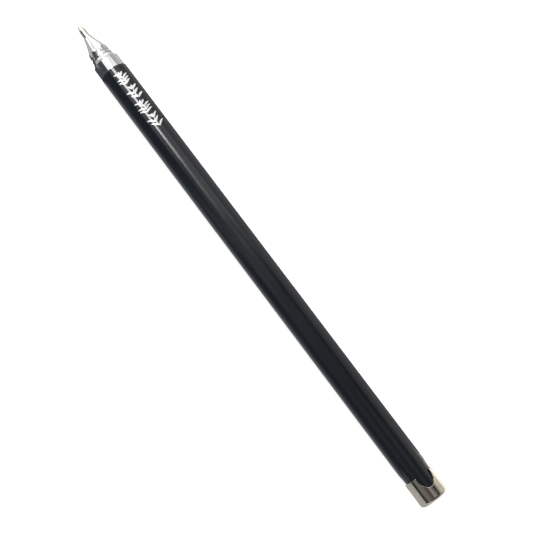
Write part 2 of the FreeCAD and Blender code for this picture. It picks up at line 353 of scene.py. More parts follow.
# Moulded acetal: waxy white with a fine satin from the tool.
HOLDER_ACETAL = Finish(
    "moulded_acetal", "holder_plastic", "#e9e8e3", "#dcdbd5",
    Marks((3, 2, 2)), Marks((0.8, 0.8, 0.8), low=0.32, high=0.46),
    ((Marks((0.15, 0.15, 0.15)), 1.5),), ior=1.48, scatter=0.35)

# Moulded natural polypropylene: milky and soft, with faint flow lines along the part.
SPACER_PLASTIC = Finish(
    "moulded_natural_polypropylene", "spacer_plastic", "#dcdbd4", "#cccac0",
    Marks((15, 2, 2)), Marks((1, 1, 1), low=0.38, high=0.52),
    ((Marks((0.3, 0.3, 0.3)), 2.0),), ior=1.49, scatter=0.4, scatter_depth=0.6)

# Moulded black ABS: dark grey-black with spark-eroded grain 0.12 mm apart.
PLUG_ABS = Finish(
    "moulded_black_abs", "plug_plastic", "#191a1c", "#232427",
    Marks((1, 1, 1)), Marks((0.5, 0.5, 0.5), low=0.42, high=0.58),
    ((Marks((0.12, 0.12, 0.12)), 5.0),), ior=1.54)

# Silver-white pad-printed ink: a thin raised film, bright and slightly uneven where the pad lifted.
PRINTED_SILVER = Finish(
    "pad_printed_silver_ink", "barrel_lacquer", "#fbfbfb", "#e9e9ea",
    Marks((0.6, 0.4, 0.4)), Marks((0.5, 0.5, 0.5), low=0.30, high=0.45),
    ((Marks((0.12, 0.12, 0.12)), 1.0),), metallic=0.15)


# ---------------------------------------------------------------- meshes
def grid_faces(rows: int, columns: int, wrap_rows: bool) -> np.ndarray:
    """Quads of a grid of points whose columns close on themselves.

    Args:
        rows: how many rows of points there are.
        columns: how many points a row has.
        wrap_rows: whether the last row joins the first.

    Returns:
        One row of four point numbers for each quad.
    """
    row = np.arange(rows if wrap_rows else rows - 1)[:, None]
    column = np.arange(columns)[None, :]
    next_row = (row + 1) % rows
    next_column = (column + 1) % columns
    corners = (row * columns + column, row * columns + next_column,
               next_row * columns + next_column, next_row * columns + column)
    return np.stack(corners, axis=-1).reshape(-1, 4)


def enclosed_volume(points: np.ndarray, faces: np.ndarray) -> float:
    """Volume inside closed quads, below zero where they are wound the wrong way.

    Args:
        points: point places, one a row.
        faces: four point numbers a row.

    Returns:
        A sixth of the sum of the triple products of each triangle's corners.
    """
    a, b, c, d = (points[faces[:, k]] for k in range(4))
    triple = np.einsum("ij,ij->i", a, np.cross(b, c)) + np.einsum("ij,ij->i", a, np.cross(c, d))
    return float(triple.sum() / 6)


class Shell:
    """A closed piece, put together from grids of points and then made one mesh."""

    def __init__(self, name: str) -> None:
        """Starts an empty piece of that name."""
        self.name = name
        self.points: list[np.ndarray] = []
        self.faces: list[np.ndarray] = []
        self.uvs: list[np.ndarray] = []
        self.count = 0

    def add(self, grid: np.ndarray, wrap_rows: bool = False, uv: np.ndarray | None = None) -> None:
        """Adds one closed surface, with its faces pointing outwards.

        Args:
            grid: places in millimetres, as rows x columns x 3. Rows of one repeated point become poles.
            wrap_rows: whether the last row joins the first.
            uv: coordinates in metres for each grid point, as rows x columns x 2.
        """
        rows, columns = grid.shape[:2]
        points = grid.reshape(-1, 3) * MM
        faces = grid_faces(rows, columns, wrap_rows)
        if enclosed_volume(points, faces) < 0:
            faces = faces[:, ::-1]
        self.points.append(points)
        self.faces.append(faces + self.count)
        self.uvs.append(np.zeros((len(points), 2)) if uv is None else uv.reshape(-1, 2))
        self.count += len(points)

    def make(self, finish: Finish, body: str, *nodes: str) -> bpy.types.Object:
        """Makes the object, dresses it, and says what it rides on and which CAD nodes it stands for.

        Args:
            finish: the piece's finish.
            body: the CAD body that it moves with.
            nodes: the CAD nodes that it replaces.

        Returns:
            The object.
        """
        points = np.concatenate(self.points)
        faces = np.concatenate(self.faces)
        mesh = bpy.data.meshes.new(self.name)
        mesh.from_pydata(points, [], faces)
        layer = mesh.uv_layers.new(name="along_and_round")
        layer.data.foreach_set("uv", np.concatenate(self.uvs)[faces.reshape(-1)].reshape(-1))
        shape = bmesh.new()
        shape.from_mesh(mesh)
        bmesh.ops.remove_doubles(shape, verts=shape.verts, dist=MERGE_DISTANCE)
        shape.to_mesh(mesh)
        shape.free()
        mesh.shade_smooth()
        mesh.set_sharp_from_angle(angle=SHARP_ANGLE)
        mesh.materials.append(finish.material())
        piece = bpy.data.objects.new(self.name, mesh)
        bpy.context.scene.collection.objects.link(piece)
        if body:
            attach(piece, body)
        if nodes:
            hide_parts(*nodes)
        log.info("%s: %d faces, %s, for %s", self.name, len(mesh.polygons), finish.name,
                 ", ".join(nodes) or "no node")
        return piece


@dataclass(frozen=True)
class Corner:
    """A corner of a turned outline, at x along the axis and r from it.

    rounding is the radius that breaks the corner. bulge is how far the edge that arrives here stands off its
    chord, to the left of its direction with x to the right and r up. So an outside edge that runs towards the
    tail is hollowed by a bulge above zero. step is the longest stretch left on that edge.
    """

    x: float
    r: float
    rounding: float = 0.0
    bulge: float = 0.0
    step: float = 3.0


def edge_points(start: Corner, end: Corner) -> np.ndarray:
    """Points from just after start up to end, on a straight edge or a shallow arc.

    The arc is the chord plus bulge times 1 - s squared at right angles to it, with s from -1 to 1.

    Args:
        start: where the edge leaves.
        end: where it arrives, with its bulge and step.

    Returns:
        Points as rows of x and r, the end last.
    """
    run = np.array([end.x - start.x, end.r - start.r])
    length = float(np.hypot(*run))
    count = max(math.ceil(length / end.step), 24 if end.bulge else 1)
    t = (np.arange(1, count + 1) / count)[:, None]
    side = np.array([-run[1], run[0]]) / max(length, 1e-9)
    return np.array([start.x, start.r]) + t * run + end.bulge * (1 - (2 * t - 1) ** 2) * side


def rounded_corner(before: np.ndarray, corner: np.ndarray, after: np.ndarray, radius: float) -> np.ndarray:
    """The arc that breaks a corner, tangent to the edges on both sides.

    Each point is the arc's centre plus the radius, turned evenly from one tangent point to the other.

    Args:
        before: a point on the edge that arrives.
        corner: the corner itself.
        after: a point on the edge that leaves.
        radius: the arc's radius.

    Returns:
        Points as rows of x and r.
    """
    into = (corner - before) / np.hypot(*(corner - before))
    out = (after - corner) / np.hypot(*(after - corner))
    turn = math.atan2(into[0] * out[1] - into[1] * out[0], float(into @ out))
    reach = radius * math.tan(abs(turn) / 2)
    start = corner - reach * into
    side = math.copysign(1, turn) * np.array([-into[1], into[0]])
    centre = start + radius * side
    angles = np.linspace(0, turn, max(4, math.ceil(abs(math.degrees(turn)) / 9)))
    spoke = start - centre
    x = spoke[0] * np.cos(angles) - spoke[1] * np.sin(angles)
    r = spoke[0] * np.sin(angles) + spoke[1] * np.cos(angles)
    return centre + np.stack([x, r], axis=1)


def outline(corners: list[Corner], closed: bool = True) -> np.ndarray:
    """The points of a turned outline, with its edges divided and its corners rounded.

    Args:
        corners: the outline's corners in order.
        closed: whether the last corner joins the first, as on a hollow piece. An open outline starts and
            ends on the axis.

    Returns:
        Points as rows of x and r.
    """
    count = len(corners)
    edges = [edge_points(corners[k - 1], corners[k]) for k in range(0 if closed else 1, count)]
    if not closed:
        edges.insert(0, np.array([[corners[0].x, corners[0].r]]))
    parts = []
    for k, corner in enumerate(corners):
        parts.append(edges[k][:-1])
        here = edges[k][-1]
        if corner.rounding and (closed or 0 < k < count - 1):
            before = edges[k][-2] if len(edges[k]) > 1 else edges[k - 1][-1]
            parts.append(rounded_corner(before, here, edges[(k + 1) % count][0], corner.rounding))
        else:
            parts.append(here[None, :])
    return np.concatenate(parts)


@dataclass(frozen=True)
class Thread:
    """A right-hand thread's ridge on a turned surface.

    At an angle of a degrees from +Z towards +Y, the ridge's middle lies where
    (x - start_x) / pitch + a / 360 - 1/2 is whole. It stands depth high over the width crest, falls straight
    to nothing at the width root, and fades in and out over a third of a turn.
    """

    start_x: float
    turns: float
    pitch: float
    root_radius: float
    depth: float
    root: float
    crest: float
    inward: bool = False
    fade: float = 0.33

    def radii(self, x: np.ndarray, r: np.ndarray, angle: np.ndarray) -> np.ndarray:
        """The surface's radius with the ridge on it.

        Args:
            x: the rows' places along the axis.
            r: the rows' plain radii.
            angle: the columns' angles.

        Returns:
            A radius for each row and column.
        """
        number = (x[:, None] - self.start_x) / self.pitch + (angle[None, :] - math.pi) / (2 * math.pi)
        nearest = np.round(number)
        off = np.abs(number - nearest) * self.pitch
        shape = np.clip((self.root - 2 * off) / (self.root - self.crest), 0, 1)
        along = nearest + (math.pi - angle[None, :]) / (2 * math.pi)
        ends = np.clip(np.minimum(along, self.turns - along) / self.fade, 0, 1)
        on_root = np.abs(r - self.root_radius)[:, None] < 1e-6
        height = np.where(on_root, self.depth * shape * ends, 0)
        return r[:, None] + (-height if self.inward else height)


def turned(points: np.ndarray, columns: int = ROUND_COLUMNS, thread: Thread | None = None) -> np.ndarray:
    """The grid that a lathe would make of an outline: each point goes round the axis in a ring.

    Args:
        points: the outline, as rows of x and r.
        columns: how many points a ring has.
        thread: a ridge that changes the radius.

    Returns:
        Places as rows x columns x 3.
    """
    angle = 2 * math.pi * np.arange(columns) / columns
    x = np.repeat(points[:, :1], columns, axis=1)
    r = np.repeat(points[:, 1:], columns, axis=1)
    if thread is not None:
        r = thread.radii(points[:, 0], points[:, 1], angle)
    return np.stack([x, r * np.sin(angle), r * np.cos(angle)], axis=-1)


def span(node: str) -> tuple[float, float, float]:
    """A CAD node's rear and front along the axis, and its outer radius.

    Args:
        node: the node's name.

    Returns:
        Rear x, front x and radius, in millimetres.
    """
    low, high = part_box(node)
    return low.x / MM, high.x / MM, high.z / MM


# ---------------------------------------------------------------- barrel
@dataclass
class Sprig:
    """A small printed sprig: a curved stem with pairs of broad tapered leaves, and one leaf at its tip.

    start is how far its foot lies behind the barrel's mouth, side which way it curves, spread the leaves'
    angle in degrees, and the rest its sizes.
    """

    start: float
    side: int
    length: float = 4.2
    pairs: int = 4
    leaf_length: float = 3.0
    leaf_width: float = 0.68
    stem_width: float = 0.42
    tip_leaf_length: float = 1.2
    spread: float = 58.0
    curve: float = 0.45
    first_pair: float = 0.08
    last_pair: float = 0.90

    def strokes(self) -> list[tuple[np.ndarray, float]]:
        """The sprig's strokes, drawn flat.

        The pairs are spaced evenly from first_pair to last_pair of the stem. Their leaves leave it by
        spread degrees, about 6 more at the first pair and 6 less at the last, and get a fifth shorter on the
        way. A sine of each leaf's number turns it by up to 8 degrees and changes its length by up to 0.14
        times leaf_length. A leaf's middle guide point lies 0.14 of its length off the straight line.

        Returns:
            For each stroke its three guide points, as rows of distance from the mouth and offset across, and
            its greatest width.
        """
        foot = np.array([self.start, -self.side * self.curve])
        tip = np.array([self.start - self.length, -self.side * self.curve])
        bend = (foot + tip) / 2 + np.array([0, 2 * self.side * self.curve])
        drawn = [(np.stack([foot, bend, tip]), self.stem_width),
                 (np.stack([tip, tip - [0.5 * self.tip_leaf_length, 0],
                            tip - [self.tip_leaf_length, -0.25 * self.side]]), self.leaf_width)]
        for k in range(self.pairs):
            t = self.first_pair + (self.last_pair - self.first_pair) * k / (self.pairs - 1)
            base = (1 - t) ** 2 * foot + 2 * t * (1 - t) * bend + t * t * tip
            for side in (-1, 1):
                off = math.sin(2.7 * k + 1.9 * side + self.start)
                swing = side * math.radians(self.spread + 14 * (0.5 - t) + 8 * off)
                size = self.leaf_length * (1.0 - 0.25 * t + 0.14 * off)
                reach = np.array([-math.cos(swing), math.sin(swing)])
                droop = base + 0.5 * size * reach + 0.14 * size * side * np.array([-reach[1], reach[0]])
                drawn.append((np.stack([base, droop, base + size * reach]), self.leaf_width))
        return drawn


@dataclass
class PrintedStroke:
    """One printed stroke: a lens-shaped film, carried along a curve on the barrel."""

    guide: np.ndarray
    width: float
    barrel_radius: float
    height: float = 0.018
    sunk: float = 0.012
    skew: float = 0.8
    fullness: float = 0.6
    rows: int = 20
    columns: int = 12

    def grid(self) -> np.ndarray:
        """The stroke's closed surface.

        The middle line is the quadratic curve of the guide points, with t from 0 to 1 along it. The width
        goes as sin(pi t^skew)^fullness, which is greatest a little nearer the root. At an angle a round the
        section, the point lies cos(a) of the half width across. It stands height x sin(a) over the lacquer
        on top, and sunk x sin(a) below it underneath.

        Returns:
            Places as rows x columns x 3.
        """
        t = np.linspace(0, 1, self.rows)[:, None]
        a, b, c = self.guide
        middle = (1 - t) ** 2 * a + 2 * t * (1 - t) * b + t * t * c
        slope = 2 * (1 - t) * (b - a) + 2 * t * (c - b)
        across = np.stack([-slope[:, 1], slope[:, 0]], axis=1) / np.hypot(slope[:, 0], slope[:, 1])[:, None]
        taper = np.sin(math.pi * t ** self.skew) ** self.fullness
        taper[[0, -1]] = 0
        turn = 2 * math.pi * np.arange(self.columns) / self.columns
        v = np.cos(turn)[None, :]
        top = np.sin(turn)[None, :]
        place = middle[:, None, :] + (self.width / 2) * (taper * v)[:, :, None] * across[:, None, :]
        lift = np.where(top > 0, self.height * top, self.sunk * top) * taper
        r = self.barrel_radius + lift
        angle = place[:, :, 1] / self.barrel_radius
        return np.stack([-place[:, :, 0], -r * np.sin(angle), r * np.cos(angle)], axis=-1)


@dataclass
class Barrel:
    """The lacquered tube with its brass bush and printed sprigs.

    The taper in front of the tail cup lies inside its chord by taper_hollow.
    """

    rear_x: float
    mouth_x: float
    radius: float
    rim_x: float
    neck_step: float = 0.25
    bore: float = 4.31
    bore_edge: float = 0.08
    lip_rounding: float = 0.38
    taper_length: float = 3.4
    taper_hollow: float = 0.0625
    taper_gap: float = 0.02
    tail_rounding: float = 0.30
    tail_bore_edge: float = 0.1
    bush_groove_radius: float = 3.92
    bush_lead_in: float = 0.7
    bush_ridge_root: float = 0.45
    bush_ridge_crest: float = 0.11
    sprigs: list[Sprig] = field(default_factory=lambda: [
        Sprig(7.9, 1, leaf_length=2.8), Sprig(14.1, -1, pairs=3, leaf_width=0.8, curve=0.7),
        Sprig(20.3, 1, spread=64.0, leaf_width=0.6), Sprig(26.5, -1, pairs=3, leaf_length=3.3, spread=50.0)])

    @classmethod
    def from_frame(cls) -> "Barrel":
        """Reads the barrel's places from the frame."""
        rear, mouth, radius = span("barrel")
        _, rim, _ = span("chape")
        return cls(rear, mouth, radius, rim)

    def build(self) -> None:
        """Builds and dresses the barrel, the bush and the sprigs."""
        neck_radius = self.radius - self.neck_step
        shell = Shell("barrel_shell")
        shell.add(turned(outline([
            Corner(self.rear_x, self.bore, self.tail_bore_edge),
            Corner(self.mouth_x, self.bore, self.bore_edge),
            Corner(self.mouth_x, self.radius, self.lip_rounding),
            Corner(self.rim_x + self.taper_length, self.radius),
            Corner(self.rim_x + self.taper_gap, neck_radius, bulge=self.taper_hollow),
            Corner(self.rear_x, neck_radius, self.tail_rounding),
        ])), wrap_rows=True)
        shell.make(BLACK_LACQUER, "barrel_body", "barrel")
        self.build_bush()
        self.build_sprigs()

    def build_bush(self) -> None:
        """Builds the brass bush, whose inner ridge runs half a pitch from the nose's."""
        rear, mouth, radius = span("thread_insert")
        start_x = THREAD_START_X - 1.5 * THREAD_PITCH
        turns = (mouth - self.bush_lead_in - start_x) / THREAD_PITCH
        thread = Thread(start_x, turns, THREAD_PITCH, self.bush_groove_radius, THREAD_DEPTH,
                        self.bush_ridge_root, self.bush_ridge_crest, inward=True)
        shell = Shell("thread_bush")
        shell.add(turned(outline([
            Corner(rear, self.bush_groove_radius, 0.03),
            Corner(mouth, self.bush_groove_radius, 0.03, step=THREAD_STEP),
            Corner(mouth, radius, 0.1),
            Corner(rear, radius, 0.1),
        ]), THREAD_COLUMNS, thread), wrap_rows=True)
        shell.make(BUSH_BRASS, "barrel_body", "thread_insert")

    def build_sprigs(self) -> None:
        """Builds the printed sprigs as one piece."""
        shell = Shell("printed_sprigs")
        for sprig in self.sprigs:
            for guide, width in sprig.strokes():
                shell.add(PrintedStroke(guide, width, self.radius).grid())
        shell.make(PRINTED_SILVER, "barrel_body")


# ---------------------------------------------------------------- tail
@dataclass
class TailCup:
    """The chromed cup on the barrel's tail, with two U notches opposite each other."""

    end_x: float
    rim_x: float
    radius: float
    wall: float = 0.5
    corner: float = 1.35
    inner_corner: float = 0.30
    notch_depth: float = 4.8
    notch_half_width: float = 2.85
    notch_corner: float = 0.40
    lip: float = 0.12
    edge_band: float = 0.3
    rim_samples: int = 64
    plug_core_radius: float = 3.44
    plug_flange_length: float = 1.5
    plug_wall: float = 1.0

    @classmethod
    def from_frame(cls) -> "TailCup":
        """Reads the cup's places from the frame."""
        return cls(*span("chape"))

    def rim_quarter(self) -> np.ndarray:
        """The rim from the middle of a notch to the middle of a petal, unrolled.

        The notch's floor is half an ellipse, its top corner a quarter circle, and the petal's edge a
        straight line. The points are evenly spaced along the three.

        Returns:
            Rows of distance round from the notch's middle and x.
        """
        start_x = self.rim_x - self.notch_corner
        t = np.linspace(0, math.pi / 2, 200)
        y = self.notch_half_width * np.sin(t)
        floor = np.stack([y, start_x - (self.notch_depth - self.notch_corner) * np.cos(t)], axis=1)
        t = np.linspace(0, math.pi / 2, 60)[1:]
        y = self.notch_half_width + self.notch_corner * (1 - np.cos(t))
        corner = np.stack([y, start_x + self.notch_corner * np.sin(t)], axis=1)
        cut = np.concatenate([floor, corner])
        cut[:, 0] = self.radius * np.arcsin(cut[:, 0] / self.radius)
        far = self.radius * math.pi / 2
        t = np.linspace(0, 1, 60)[1:]
        petal = np.stack([cut[-1, 0] + t * (far - cut[-1, 0]), np.full_like(t, self.rim_x)], axis=1)
        line = np.concatenate([cut, petal])
        gone = np.concatenate([[0], np.cumsum(np.hypot(*np.diff(line, axis=0).T))])
        even = np.linspace(0, gone[-1], self.rim_samples + 1)
        return np.stack([np.interp(even, gone, line[:, 0]), np.interp(even, gone, line[:, 1])], axis=1)

    def rim(self) -> tuple[np.ndarray, np.ndarray]:
        """The whole rim and the direction at each point into the metal.

        Returns:
            Rows of distance round and x, and rows of unit directions in the same terms.
        """
        quarter = self.rim_quarter()
        far = self.radius * math.pi / 2
        mirrored = quarter[::-1][1:-1] * [-1, 1] + [2 * far, 0]
        half = np.concatenate([quarter, mirrored])
        whole = np.concatenate([half, half + [2 * far, 0]])
        around = 4 * far
        ahead = np.roll(whole, -1, axis=0)
        behind = np.roll(whole, 1, axis=0)
        ahead[-1, 0] += around
        behind[0, 0] -= around
        along = ahead - behind
        into = np.stack([along[:, 1], -along[:, 0]], axis=1)
        return whole, into / np.hypot(*into.T)[:, None]

    def through_wall(self, angle: np.ndarray, r: np.ndarray) -> np.ndarray:
        """Turns angles on the outside to those at radius r, so that a notch's sides run straight through.

        Inside a notch the offset from its middle plane stays the same, and over a petal the shift fades out.

        Args:
            angle: angles from the notch's middle on the outer wall.
            r: the radius of each point.

        Returns:
            Angles at those radii.
        """
        fold = np.abs((angle + math.pi / 2) % math.pi - math.pi / 2)
        sign = np.sign((angle + math.pi / 2) % math.pi - math.pi / 2)
        limit = math.asin((self.notch_half_width + self.notch_corner) / self.radius)
        y = self.radius * np.sin(np.minimum(fold, limit))
        shift = np.arcsin(np.clip(y / r, -1, 1)) - np.minimum(fold, limit)
        fade = np.clip((math.pi / 2 - fold) / (math.pi / 2 - limit), 0, 1)
        return angle + sign * shift * fade

    def build(self) -> None:
        """Builds and dresses the cup and the plug inside it.

        Each column passes through a point of the rim. Within edge_band of the rim the rows are the rim's
        own curve moved into the metal, over a rounded lip. Below that each column runs evenly to its place
        on the cup's bottom ring.
        """
        whole, into = self.rim()
        columns = len(whole)
        base = np.stack([4 * self.radius * math.pi / 2 * np.arange(columns) / columns,
                         np.full(columns, self.end_x + self.corner)], axis=1)
        inner_radius = self.radius - self.wall
        rows = []

        def ring(flat: np.ndarray, r: float) -> None:
            """Adds a row at radius r from unrolled places."""
            angle = self.through_wall(flat[:, 0] / self.radius, np.full(columns, r))
            rows.append(np.stack([flat[:, 1], r * np.sin(angle), r * np.cos(angle)], axis=1))

        def flat_ring(x: float, r: float, outer: bool) -> None:
            """Adds a row at one x, on the bottom ring's angles, as if on the outer wall or the inner."""
            angle = base[:, 0] / self.radius
            if not outer:
                angle = self.through_wall(angle, np.full(columns, inner_radius))
            rows.append(np.stack([np.full(columns, x), r * np.sin(angle), r * np.cos(angle)], axis=1))

        edge = self.radius - self.corner
        for part in (0, 0.25, 0.5, 0.75, 0.9):
            flat_ring(self.end_x, edge * part, True)
        for turn in np.radians(np.linspace(0, 90, 16)):
            flat_ring(self.end_x + self.corner * (1 - math.cos(turn)),
                      edge + self.corner * math.sin(turn), True)
        deep = whole + self.edge_band * into
        for part in np.linspace(0, 1, 22)[1:-1]:
            ring(base + part * (deep - base), self.radius)
        band_parts = (1.0, 0.8, 0.6)
        for part in band_parts:
            ring(whole + part * self.edge_band * into, self.radius)
        lip_turns = np.radians(np.linspace(0, 90, 8))
        for turn in lip_turns:
            inwards = whole + self.lip * (1 - math.sin(turn)) * into
            ring(inwards, self.radius - self.lip * (1 - math.cos(turn)))
        for turn in lip_turns[::-1]:
            inwards = whole + self.lip * (1 - math.sin(turn)) * into
            ring(inwards, inner_radius + self.lip * (1 - math.cos(turn)))
        for part in band_parts[::-1]:
            ring(whole + part * self.edge_band * into, inner_radius)
        floor_x = self.end_x + self.wall
        foot = base * [1, 0] + [0, floor_x + self.inner_corner]
        for part in np.linspace(1, 0, 14)[1:]:
            ring(foot + part * (deep - foot), inner_radius)
        inner_edge = inner_radius - self.inner_corner
        for turn in np.radians(np.linspace(90, 0, 7))[1:]:
            flat_ring(floor_x + self.inner_corner * (1 - math.cos(turn)),
                      inner_edge + self.inner_corner * math.sin(turn), False)
        for part in (0.66, 0.33, 0):
            flat_ring(floor_x, inner_edge * part, False)
        shell = Shell("chape_cup")
        shell.add(np.stack(rows))
        shell.make(CHAPE_CHROME, "barrel_body", "chape")
        self.build_plug()

    def build_plug(self) -> None:
        """Builds the moulded plug: a flange in the barrel's bore and a hollow core."""
        rear, front, flange = span("tail_plug")
        floor = rear + self.plug_flange_length
        core = self.plug_core_radius
        hollow = core - self.plug_wall
        shell = Shell("tail_closure")
        shell.add(turned(outline([
            Corner(rear, 0),
            Corner(rear, flange, 0.15),
            Corner(floor, flange, 0.1),
            Corner(floor, core, 0.1),
            Corner(front, core, 0.2),
            Corner(front, hollow, 0.1),
            Corner(floor, hollow, 0.2),
            Corner(floor, 0),
        ], closed=False)))
        shell.make(PLUG_ABS, "barrel_body", "tail_plug")


# ---------------------------------------------------------------- nose
@dataclass
class Nose:
    """The chromed nose: ogive front, band, snap groove, ridge, shoulder, collar and threaded spigot.

    A place that ends in _x is on the axis, and names the end of its feature that is meant. The edges of the
    ogive and the shoulder lie inside their chords by their _hollow.
    """

    spigot_x: float
    mouth_x: float
    collar_radius: float
    bore: float = 3.1
    bore_front_x: float = 6.7
    seat_radius: float = 1.95
    seat_rear_x: float = 9.7
    seat_front_x: float = 13.2
    mouth_bore: float = 1.33
    mouth_radius: float = 1.55
    mouth_rounding: float = 0.12
    ogive_hollow: float = 0.14
    band_front_x: float = 9.70
    band_front_radius: float = 3.55
    band_rear_x: float = 7.95
    band_radius: float = 3.75
    groove_rear_x: float = 7.10
    groove_radius: float = 3.45
    ridge_rear_x: float = 6.45
    ridge_radius: float = 3.88
    rear_groove_rear_x: float = 6.10
    rear_groove_radius: float = 3.62
    shoulder_front_radius: float = 3.95
    shoulder_rear_x: float = 4.55
    shoulder_rear_radius: float = 4.80
    shoulder_hollow: float = 0.12
    collar_front_x: float = 4.40
    edge_break: float = 0.1
    groove_corner: float = 0.04
    root_radius: float = 3.5
    ridge_root: float = 0.50
    ridge_crest: float = 0.16

    @classmethod
    def from_frame(cls) -> "Nose":
        """Reads the nose's places from the frame."""
        return cls(*span("nose_section"))

    def build(self) -> None:
        """Builds and dresses the nose."""
        thread = Thread(THREAD_START_X, THREAD_TURNS, THREAD_PITCH, self.root_radius, THREAD_DEPTH,
                        self.ridge_root, self.ridge_crest)
        shell = Shell("nose_shell")
        shell.add(turned(outline([
            Corner(self.spigot_x, self.bore, 0.05),
            Corner(self.bore_front_x, self.bore, 0.2),
            Corner(self.seat_rear_x, self.seat_radius, 0.2),
            Corner(self.seat_front_x, self.seat_radius, 0.05),
            Corner(self.seat_front_x, self.mouth_bore, 0.05),
            Corner(self.mouth_x, self.mouth_bore, 0.06),
            Corner(self.mouth_x, self.mouth_radius, self.mouth_rounding),
            Corner(self.band_front_x, self.band_front_radius, bulge=self.ogive_hollow),
            Corner(self.band_rear_x, self.band_radius, self.edge_break),
            Corner(self.band_rear_x, self.groove_radius, self.groove_corner),
            Corner(self.groove_rear_x, self.groove_radius, self.groove_corner),
            Corner(self.groove_rear_x, self.ridge_radius, self.edge_break),
            Corner(self.ridge_rear_x, self.ridge_radius, self.edge_break),
            Corner(self.ridge_rear_x, self.rear_groove_radius, self.groove_corner),
            Corner(self.rear_groove_rear_x, self.rear_groove_radius, self.groove_corner),
            Corner(self.rear_groove_rear_x, self.shoulder_front_radius, 0.06),
            Corner(self.shoulder_rear_x, self.shoulder_rear_radius, self.edge_break, self.shoulder_hollow),
            Corner(self.collar_front_x, self.collar_radius),
            Corner(0, self.collar_radius, self.groove_corner),
            Corner(0, self.root_radius, self.edge_break),
            Corner(self.spigot_x, self.root_radius, self.edge_break, step=THREAD_STEP),
        ]), THREAD_COLUMNS, thread), wrap_rows=True)
        shell.make(NOSE_CHROME, "nose", "nose_section")


